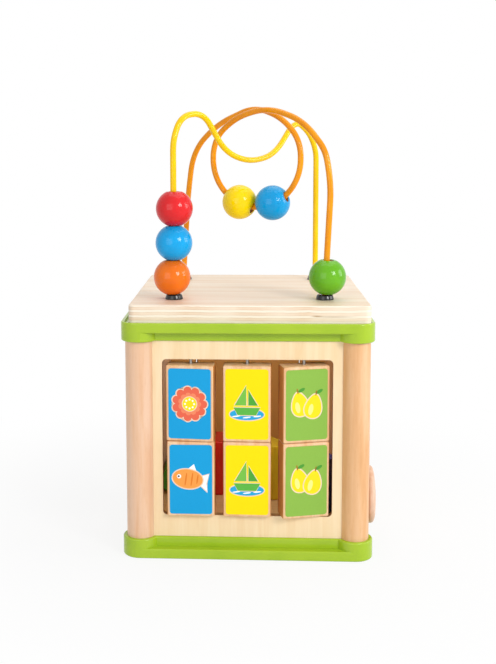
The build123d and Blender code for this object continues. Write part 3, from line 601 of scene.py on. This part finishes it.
# =============================================================================================
# Printed labels: paper laminated under clear film, glued to both faces of each block. Every
# picture is a few flat inks on one ground colour, with a pale line round it.
# =============================================================================================
LABEL = (33.8, 56.4, 2.2)   # width, height and corner radius
LABEL_T = 0.25
INK_T = 0.03
GROUND = {"left": "#149FDB", "middle": "#FDE100", "right": "#8CB84C"}
PRINT_SLOT = {"left": "print_blue", "middle": "print_yellow", "right": "print_green"}


class Print:
    """Closed flat slabs of ink in a picture's own plane, each with a colour."""

    def __init__(self):
        self.points = []
        self.faces = []
        self.colours = []

    def slab(self, outline, low, high, colour):
        """Prism over an anticlockwise outline, from one height above the picture to another."""
        n = len(outline)
        start = sum(len(p) for p in self.points)
        self.points += [np.column_stack([outline, np.full(n, h)]) for h in (low, high)]
        i = start + np.arange(n)
        j = np.roll(i, -1)
        walls = np.stack([i, j, j + n, i + n], axis=1)
        self.faces += [i[::-1].tolist(), (i + n).tolist()] + walls.tolist()
        self.colours += [colour] * (n + 2)

    def piece(self, name, material, origin, right, up):
        """The finished print, with its plane's right and up directions laid into the scene."""
        points = np.concatenate(self.points)
        out = np.cross(right, up)
        placed = points @ np.array([right, up, out]) + np.array(origin)
        piece = surface(name, placed, self.faces)
        mesh = piece.data
        ink = mesh.color_attributes.new("ink", "FLOAT_COLOR", "CORNER")
        counts = [len(face) for face in self.faces]
        colours = np.repeat(np.array([linear(c) for c in self.colours]), counts, axis=0)
        ink.data.foreach_set("color", colours.astype(np.float32).ravel())
        mesh.materials.append(material)
        return piece


def rounded_rectangle(width, height, radius, steps=7):
    """Anticlockwise outline with quarter-circle corners."""
    turn = np.linspace(0, math.pi / 2, steps)
    quarter = np.stack([np.cos(turn), np.sin(turn)], axis=1) * radius
    x, y = width / 2 - radius, height / 2 - radius
    spin = np.array([[0, 1], [-1, 0]])
    parts = []
    for centre in ((x, y), (-x, y), (-x, -y), (x, -y)):
        parts.append(quarter + centre)
        quarter = quarter @ spin
    return np.concatenate(parts)


def petals(radius, depth, count, steps=12):
    """Closed outline about the middle whose radius swells and sinks in round lobes."""
    angle = np.linspace(0, 2 * math.pi, count * steps, endpoint=False)
    lobes = np.abs(np.cos(angle * count / 2)) ** 0.6
    r = radius - depth + depth * lobes
    return np.stack([r * np.cos(angle), r * np.sin(angle)], axis=1)


def oval(centre, wide, tall, degrees=0.0, steps=40, taper=0.0):
    """Ellipse, narrowed towards its top by taper, and turned."""
    angle = np.linspace(0, 2 * math.pi, steps, endpoint=False)
    y = np.sin(angle)
    shape = np.stack([np.cos(angle) * wide * (1 - taper * y), y * tall], axis=1)
    a = math.radians(degrees)
    spin = np.array([[math.cos(a), math.sin(a)], [-math.sin(a), math.cos(a)]])
    return shape @ spin + centre


def grown(outline, margin):
    """Outline moved outwards along its own normals."""
    ahead = np.roll(outline, -1, axis=0) - np.roll(outline, 1, axis=0)
    ahead /= np.linalg.norm(ahead, axis=1)[:, None] + 1e-9
    return outline + np.stack([ahead[:, 1], -ahead[:, 0]], axis=1) * margin


# Printed film: strong flat inks under a satin laminate, with a trace of the paper's tooth.
def printed_film(name):
    """Ink colour from the piece's own attribute, under a thin satin film."""
    material, tree, out = new_material(name)
    ink = add(tree, "ShaderNodeAttribute", attribute_name="ink")
    place = add(tree, "ShaderNodeTexCoord")
    tooth = add(tree, "ShaderNodeTexNoise", {"Vector": place.outputs["Object"], "Scale": 1400, "Detail": 2})
    value = add(tree, "ShaderNodeMapRange", {"Value": tooth, "To Min": 0.93, "To Max": 1.05})
    colour = add(tree, "ShaderNodeHueSaturation", {"Color": ink, "Value": value})
    relief = add(tree, "ShaderNodeBump", {"Height": tooth, "Strength": 0.05, "Distance": 0.0002})
    skin = add(tree, "ShaderNodeBsdfPrincipled",
               {"Base Color": colour, "Roughness": 0.5, "IOR": 1.45, "Specular IOR Level": 0.2,
                "Normal": relief})
    tree.links.new(skin.outputs[0], out.inputs["Surface"])
    return material


PALE_LINE = "#F3D6BA"


def shape_on(picture, outline, level, colour, line=0.0):
    """One ink shape on a label, with a pale line round it where line is its width."""
    base = LABEL_T + level * INK_T
    if line > 0:
        picture.slab(grown(outline, line), LABEL_T - INK_T, base + INK_T / 2, PALE_LINE)
    picture.slab(outline, LABEL_T - INK_T, base + INK_T, colour)


def flower(picture):
    """A coral flower with a yellow heart and a ring of white dots."""
    shape_on(picture, petals(14.0, 2.6, 11), 1, "#E9694F", 0.9)
    shape_on(picture, petals(9.2, 1.6, 11), 2, "#F08A63")
    shape_on(picture, oval((0, 0), 5.6, 5.6), 3, "#FFE11A", 0.6)
    for k in range(8):
        angle = 2 * math.pi * k / 8
        centre = (3.6 * math.cos(angle), 3.6 * math.sin(angle))
        shape_on(picture, oval(centre, 0.75, 0.75, steps=14), 4, "#FFFFFF")


def fish(picture):
    """An orange fish that swims up to the left, with white fins."""
    tail = np.array([(5, -2), (13.2, -10), (12.2, -3.0), (14.4, 4.4), (5, 1.5)])
    shape_on(picture, tail, 1, "#FFFFFF", 0.8)
    shape_on(picture, oval((-2.5, 0.5), 12.0, 7.8, -8), 2, "#F7A04B", 0.9)
    shape_on(picture, np.array([(-4.5, 6.8), (2.5, 12.6), (5.0, 5.2)]), 1, "#FFFFFF", 0.8)
    for x, tall in ((-4.0, 11.0), (0.8, 11.6), (5.2, 8.0)):
        shape_on(picture, oval((x, 0.2), 0.65, tall / 2, -8, 18), 3, "#E77F2E")
    shape_on(picture, oval((-9.4, 2.6), 1.7, 1.7, steps=20), 3, "#FFFFFF")
    shape_on(picture, oval((-9.7, 2.6), 0.8, 0.8, steps=16), 4, "#3B2A20")


def boat(picture):
    """A green boat with two three-cornered sails on blue water with white crests."""
    shape_on(picture, oval((0, -8.0), 13.4, 4.6), 1, "#2AA7DC", 0.8)
    hull = np.array([(-10.5, -2.6), (-7.2, -8.6), (7.2, -8.6), (10.5, -2.6)])
    shape_on(picture, hull, 2, "#5DB548", 0.6)
    shape_on(picture, np.array([(-9.6, -0.8), (-0.5, -0.8), (-0.5, 15.0)]), 2, "#78C04A", 0.7)
    shape_on(picture, np.array([(1.2, -0.8), (8.6, -0.8), (1.2, 11.5)]), 2, "#4FA63C", 0.7)
    for x, y in ((-8.4, -9.6), (0.0, -10.4), (8.2, -9.4)):
        shape_on(picture, oval((x, y), 3.2, 0.55, 8, 18), 3, "#FFFFFF")


def pears(picture):
    """Two yellow pears side by side, each with a stalk, a leaf and a paler cheek."""
    for x, y, lean in ((-5.6, 0.8, 12), (5.4, -1.2, -12)):
        shape_on(picture, oval((x, y), 6.6, 9.6, lean, 44, 0.32), 1 if x < 0 else 2, "#FFE020", 0.9)
    for x, y, lean in ((-7.4, -1.8, 12), (3.2, -3.8, -12)):
        shape_on(picture, oval((x, y), 1.9, 4.4, lean), 3, "#FFF08A")
    for x, y, lean in ((-7.6, 11.2, 12), (7.6, 9.2, -12)):
        shape_on(picture, oval((x, y), 0.55, 2.3, lean, 16), 3, "#A8762B")
    for x, y, lean in ((-4.4, 12.0, 62), (10.2, 10.4, 60)):
        shape_on(picture, oval((x, y), 1.3, 3.0, -lean, 20), 3, "#4F9A3A")


film = printed_film("printed_label_film")
PICTURES = {("left", "upper"): (flower, fish), ("left", "lower"): (fish, flower),
            ("middle", "upper"): (boat, pears), ("middle", "lower"): (boat, pears),
            ("right", "upper"): (pears, boat), ("right", "lower"): (pears, boat)}
for (side, level), motifs in PICTURES.items():
    for face, motif, sign in (("front", motifs[0], -1), ("back", motifs[1], 1)):
        a = math.radians(REST_TURN[side, level])
        out = np.array((-sign * math.sin(a), sign * math.cos(a), 0))
        right = np.array((-out[1], out[0], 0))
        picture = Print()
        picture.slab(rounded_rectangle(*LABEL), 0, LABEL_T, GROUND[side])
        motif(picture)
        origin = np.array(block_centre[side, level]) + out * BLOCK[1] / 2
        label = picture.piece(f"label_{side}_{level}_{face}", film, origin, right, (0, 0, 1))
        hold(label, f"{side}_{level}_block", PRINT_SLOT[side], f"block_labels_{side}_{level}")

# =============================================================================================
# Bead maze wires: 5 mm steel wire, bent cold and coated with glossy lacquer, one yellow and
# one orange. Each stands in two drilled holes in the top board.
# =============================================================================================
BOARD_TOP = board_high.z / MM
WIRE_R = 2.5
WIRE_FOOT = 61.0            # the wires' feet from the board's middle, along X and along Y
BOARD_X = 1.5               # the board and the maze sit this far to the right
WIRE_SEAT = 12.0            # depth of the feet in the board
VALLEY = 109.8              # lowest corner of the yellow wire's crest above the board
RUN_SHARE = 0.48            # share of a straight run that a bend takes up
RING_R, RING_X, RING_TURN = 41.2, BOARD_X + 5.7, math.radians(25)
RING_Z = BOARD_TOP + 112.2
YELLOW_BENDS = ((-1.0, 1.179), (-0.894, 1.346), (-0.62, 1.374), (-0.334, 1.08), (-0.01, 1.0),
                (0.356, 1.049), (0.61, 1.277), (0.721, 1.311), (0.894, 1.228), (1.0, 1.083))
ORANGE_REAR_BENDS = ((0.046, -0.731), (0.097, 0.177), (0.309, 0.745), (0.633, 1.097), (0.858, 0.842),
                     (1.0, 0.362))
ORANGE_FRONT_BENDS = ((0.0, 0.398), (0.205, 0.854), (0.504, 1.051), (0.812, 0.76), (0.994, 0.187),
                      (1.027, -0.262), (1.039, -0.626))
LEG_BEND = 7.5              # first bend of the orange legs above the board
LEG_BEND_R = 60.0
BEND_STEP = 3               # degrees of a bend from one of its points to the next
WIRE_AROUND = 28


def bent_line(corners, fixed):
    """Points along straight runs joined by tangent arcs, one arc at each inner corner.

    An arc turns its start about its centre: with turn t, start vector a and end vector b from
    the centre, the point at share w is (a sin((1-w)t) + b sin(wt)) / sin t.
    """
    corners = np.asarray(corners, float)
    runs = np.diff(corners, axis=0)
    lengths = np.linalg.norm(runs, axis=1)
    ways = runs / lengths[:, None]
    parts = [corners[:1]]
    for i in range(1, len(corners) - 1):
        before, after = ways[i - 1], ways[i]
        turn = math.acos(np.clip(before @ after, -1, 1))
        radius = fixed.get(i, RUN_SHARE * min(lengths[i - 1], lengths[i]) / math.tan(turn / 2))
        reach = radius * math.tan(turn / 2)
        inward = (after - before) / np.linalg.norm(after - before)
        centre = corners[i] + inward * radius / math.cos(turn / 2)
        a = corners[i] - before * reach - centre
        b = corners[i] + after * reach - centre
        w = np.linspace(0, 1, max(4, int(math.degrees(turn) / BEND_STEP)))[:, None]
        parts.append(centre + (a * np.sin((1 - w) * turn) + b * np.sin(w * turn)) / math.sin(turn))
    parts.append(corners[-1:])
    return np.concatenate(parts)


def round_wire(name, line, sideways, material):
    """Circle of the wire's radius carried along a line, with a pole at each end."""
    ahead = np.gradient(line, axis=0)
    ahead /= np.linalg.norm(ahead, axis=1)[:, None]
    v = np.cross(ahead, sideways)
    v /= np.linalg.norm(v, axis=1)[:, None]
    u = np.cross(v, ahead)
    angle = np.linspace(0, 2 * math.pi, WIRE_AROUND, endpoint=False)
    ring = np.cos(angle)[None, :, None] * u[:, None, :] + np.sin(angle)[None, :, None] * v[:, None, :]
    points = (line[:, None, :] + WIRE_R * ring).reshape(-1, 3)
    points = np.concatenate([points, line[:1], line[-1:]])
    piece = surface(name, points, tube_faces(len(line), WIRE_AROUND), end_fans(len(line), WIRE_AROUND))
    finish_surface(piece, material)
    return piece


# Powder-coated wire: an even, hard and very glossy colour, smooth apart from slight waves.
def coated(name, colour, dark, roughness=0.1, gloss=0.25):
    """Thick glossy lacquer or powder coat with faint clouding and long shallow waves."""
    material, tree, out = new_material(name)
    place = add(tree, "ShaderNodeTexCoord")
    clouds = add(tree, "ShaderNodeTexNoise", {"Vector": place.outputs["Object"], "Scale": 60, "Detail": 2})
    tint = add(tree, "ShaderNodeValToRGB", {"Fac": clouds}, ((0.35, dark), (0.62, colour)))
    waves = add(tree, "ShaderNodeTexNoise", {"Vector": place.outputs["Object"], "Scale": 90, "Detail": 1})
    relief = add(tree, "ShaderNodeBump", {"Height": waves, "Strength": 0.04, "Distance": 0.0004})
    skin = add(tree, "ShaderNodeBsdfPrincipled",
               {"Base Color": tint, "Roughness": roughness, "IOR": 1.5,
                "Specular IOR Level": gloss, "Normal": relief})
    tree.links.new(skin.outputs[0], out.inputs["Surface"])
    return material


foot_z = BOARD_TOP - WIRE_SEAT
left_x, right_x = BOARD_X - WIRE_FOOT, BOARD_X + WIRE_FOOT
yellow_corners = [(left_x, -WIRE_FOOT, foot_z)]
yellow_corners += [(BOARD_X + share * WIRE_FOOT, share * WIRE_FOOT, BOARD_TOP + rise * VALLEY)
                   for share, rise in YELLOW_BENDS]
yellow_corners += [(right_x, WIRE_FOOT, foot_z)]
yellow_coat = coated("yellow_powder_coat", "#FACD00", "#F3C100")
piece = round_wire("yellow_wire_coated", bent_line(yellow_corners, {}), (1, -1, 0), yellow_coat)
hold(piece, "root", "yellow_wire_lacquer", "yellow_wire")

ring_right = np.array((math.cos(RING_TURN), -math.sin(RING_TURN), 0))
ring_centre = np.array((RING_X, 0, RING_Z))
rear_foot, front_foot = np.array((left_x, WIRE_FOOT)), np.array((right_x, -WIRE_FOOT))
right_side = (ring_centre + RING_R * ring_right)[:2]
left_side = (ring_centre - RING_R * ring_right)[:2]


def arch(start, end, bends):
    """Bends of an arch in the upright plane through two plan places."""
    return [(*(start + share * (end - start)), RING_Z + rise * RING_R) for share, rise in bends]


orange_corners = [(*rear_foot, foot_z), (*rear_foot, BOARD_TOP + LEG_BEND)]
orange_corners += arch(rear_foot, right_side, ORANGE_REAR_BENDS)
orange_corners += [(*right_side, RING_Z - RING_R), (*left_side, RING_Z - RING_R)]
orange_corners += arch(left_side, front_foot, ORANGE_FRONT_BENDS)
orange_corners += [(*front_foot, BOARD_TOP + LEG_BEND), (*front_foot, foot_z)]
ring_bend = 2 + len(ORANGE_REAR_BENDS)
ring_bend_r = RING_R - 0.05  # leaves a short run between the ring's two bends
set_radii = {1: LEG_BEND_R, ring_bend: ring_bend_r, ring_bend + 1: ring_bend_r,
             len(orange_corners) - 2: LEG_BEND_R}
orange_coat = coated("orange_powder_coat", "#F19A0C", "#E78E08")
piece = round_wire("orange_wire_coated", bent_line(orange_corners, set_radii), (0.6, 0.8, 0), orange_coat)
hold(piece, "root", "orange_wire_lacquer", "orange_wire")

# =============================================================================================
# Ferrules: glossy black ABS caps pushed over the wires' feet. They hide the drilled holes.
# =============================================================================================
black_abs = moulded_abs("black_abs", "#17171A", "#101013", roughness=0.18)
# radius and height of each point of the cap's section
FERRULE = [(2.55, 0.0), (6.9, 0.0), (7.2, 0.2), (7.25, 0.6), (7.1, 1.3), (6.75, 2.4), (6.55, 3.2),
           (6.3, 3.7), (5.8, 4.0), (3.2, 4.0), (2.75, 3.85), (2.55, 3.5)]


def joined(name, parts):
    """Several finished pieces as one object with the first one's materials."""
    work = bmesh.new()
    for part in parts:
        work.from_mesh(part.data)
    mesh = parts[0].data.copy()
    work.to_mesh(mesh)
    work.free()
    mesh.name = name
    for part in parts:
        bpy.data.objects.remove(part)
    piece = bpy.data.objects.new(name, mesh)
    scene.collection.objects.link(piece)
    return piece


feet = ((left_x, -WIRE_FOOT), (right_x, WIRE_FOOT), (left_x, WIRE_FOOT), (right_x, -WIRE_FOOT))
caps = [turned(f"ferrule_{i}", (x, y, BOARD_TOP), (0, 0, 1), FERRULE, black_abs, segments=64,
               closed=True) for i, (x, y) in enumerate(feet)]
hold(joined("ferrule_caps", caps), "root", "black_abs", "wire_ferrules")

# =============================================================================================
# Beads: six turned wooden balls of 30 mm with two small flats and a wide bore, dipped in
# thick glossy lacquer. The bore is bare wood.
# =============================================================================================
BEAD_R, BEAD_HALF, BORE_R, BEAD_LIP = 15.0, 13.75, 4.25, 0.5
BORE_INSET = 1.2            # from each flat to the bore's outermost ring of points
RIM_EASE = 0.02             # radians of the ball left out beside each flat, for an eased rim
BALL_STEPS, LIP_STEPS, BORE_STEPS, BEAD_AROUND = 56, 5, 9, 72
DIPPED = (0.12, 0.28)       # roughness and gloss of dipped lacquer
bare_wood = wood("bare_bead_wood", "#C98E5A", "#B2774A", "#94603A",
                 band=3.0, fleck=0.6, fleck_colour="#7A4E2C", fleck_share=0.4, roughness=0.7)


def bead_profile():
    """Closed half-section: ball from flat to flat, rounded mouth of the bore, and the bore."""
    tilt = math.asin(BEAD_HALF / BEAD_R) - RIM_EASE
    ball = np.linspace(-tilt, tilt, BALL_STEPS)
    outside = np.stack([BEAD_R * np.cos(ball), BEAD_R * np.sin(ball)], axis=1)
    turn = np.linspace(0, math.pi / 2, LIP_STEPS)
    lip_x = BORE_R + BEAD_LIP - BEAD_LIP * np.sin(turn)
    lip_z = BEAD_HALF - BEAD_LIP + BEAD_LIP * np.cos(turn)
    upper = np.stack([lip_x, lip_z], axis=1)
    depths = np.linspace(BEAD_HALF - BORE_INSET, -BEAD_HALF + BORE_INSET, BORE_STEPS)
    bore = np.stack([np.full(BORE_STEPS, BORE_R), depths], axis=1)
    lower = (upper * (1, -1))[::-1]
    return np.concatenate([outside, upper, bore, lower])


def bead(name, node, axis, material):
    """Bead turned about its bore, lacquered outside and bare in the bore."""
    low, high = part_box(node)
    piece = turned(name, (low + high) / 2 / MM, axis, bead_profile(), material, BEAD_AROUND,
                   closed=True)
    piece.data.materials.append(bare_wood)
    ring = np.arange(BALL_STEPS + 2 * LIP_STEPS + BORE_STEPS)
    mouth = BALL_STEPS + LIP_STEPS - 1
    bare = (ring >= mouth) & (ring < mouth + BORE_STEPS + 2)
    piece.data.polygons.foreach_set("material_index", np.repeat(bare.astype(np.int32), BEAD_AROUND))
    return piece


BORE_TILT = math.radians(22.8)  # of the two beads at the ring's foot, from level
level, upright = ring_right * math.cos(BORE_TILT), np.array((0, 0, math.sin(BORE_TILT)))
leg = np.array(orange_corners[-3]) - np.array(orange_corners[-2])
red_coat = coated("red_lacquer", "#DE2226", "#D31C22", *DIPPED)
blue_coat = coated("blue_lacquer", "#08A2E2", "#049ADA", *DIPPED)
orange_bead_coat = coated("orange_lacquer", "#EE7410", "#E66B0A", *DIPPED)
green_coat = coated("green_lacquer", "#68B01E", "#60A818", *DIPPED)
yellow_bead_coat = coated("yellow_lacquer", "#FFE000", "#FFDA00", *DIPPED)
for node, axis, material, slot in (
        ("orange_bead", (0, 0, 1), orange_bead_coat, "orange_lacquer"),
        ("blue_stack_bead", (0, 0, 1), blue_coat, "blue_lacquer"),
        ("red_bead", (0, 0, 1), red_coat, "red_lacquer"),
        ("green_bead", leg, green_coat, "green_lacquer"),
        ("yellow_bead", level - upright, yellow_bead_coat, "yellow_lacquer"),
        ("blue_ring_bead", level + upright, blue_coat, "blue_lacquer")):
    hold(bead(node + "_turned", node, axis, material), node, slot, node)

# =============================================================================================
# Track slider: a turned disc of varnished wood on a collar, with a smaller disc inside the
# cube. A child pushes the disc along the arched slot.
# =============================================================================================
slider_wood = wood("varnished_slider_wood", "#E8CAB4", "#E0BA9E", "#D6A682",
                   band=6.0, fleck=0.7, fleck_colour="#BE8A60", fleck_share=0.2, roughness=0.35)
low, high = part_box("slider_disc")
disc_centre = (low + high) / 2 / MM
disc_half = (high.x - low.x) / 2 / MM
DISC_R, DISC_EDGE = 23.2, 2.6
disc = turned("slider_disc_turned", disc_centre, (1, 0, 0),
              rounded(DISC_R, -disc_half, disc_half, DISC_EDGE, steps=9), slider_wood, segments=128)
hold(disc, "slider", "varnished_wood", "slider_disc")
low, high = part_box("slider_spacer")
x0, x1 = low.x / MM, high.x / MM
NECK_R, COLLAR_R, COLLAR_EDGE = 3.2, 8.0, 0.4
COLLAR_GAP = 0.3            # between the collar and the panel's outer face
step = PANEL_OUT + COLLAR_GAP
collar = [(0, x0), (NECK_R, x0), (NECK_R, step), (COLLAR_R - COLLAR_EDGE, step),
          (COLLAR_R, step + COLLAR_EDGE), (COLLAR_R, x1 - COLLAR_EDGE), (COLLAR_R - COLLAR_EDGE, x1),
          (0, x1)]
spacer = turned("slider_collar", (0, disc_centre.y, disc_centre.z), (1, 0, 0), collar, slider_wood,
                segments=64)
hold(spacer, "slider", "varnished_wood", "slider_spacer")
BACKING_R, BACKING_EDGE = 11.0, 0.8
low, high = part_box("slider_backing")
backing = turned("slider_backing_turned", (0, disc_centre.y, disc_centre.z), (1, 0, 0),
                 rounded(BACKING_R, low.x / MM, high.x / MM, BACKING_EDGE), slider_wood, segments=64)
hold(backing, "slider", "varnished_wood", "slider_backing")

# =============================================================================================
# Loose shapes: hardwood blocks for the sorter, stained and lacquered in four colours. They
# lie on the cube's floor. The batten that stops the door is plain beech.
# =============================================================================================
def stained(name, colour, dark):
    """Satin coloured lacquer on wood that lets a little of the grain through."""
    return wood(name, colour, colour, dark, band=5.0, fleck=0.8, fleck_colour=dark,
                fleck_share=0.5, roughness=0.32)


for node, slot, colour, dark in (("green_cylinder", "green_stain", "#4DA63A", "#3E9330"),
                                 ("red_square", "red_stain", "#E22A20", "#C81F18"),
                                 ("yellow_triangle", "yellow_stain", "#F2CE2C", "#E0B820"),
                                 ("blue_hexagon", "blue_stain", "#2B45A0", "#223A8A")):
    eased(node, 0, stained(slot + "_lacquer", colour, dark), slot)
eased("door_stop", BATTEN_EDGE, tan_beech, "beech")
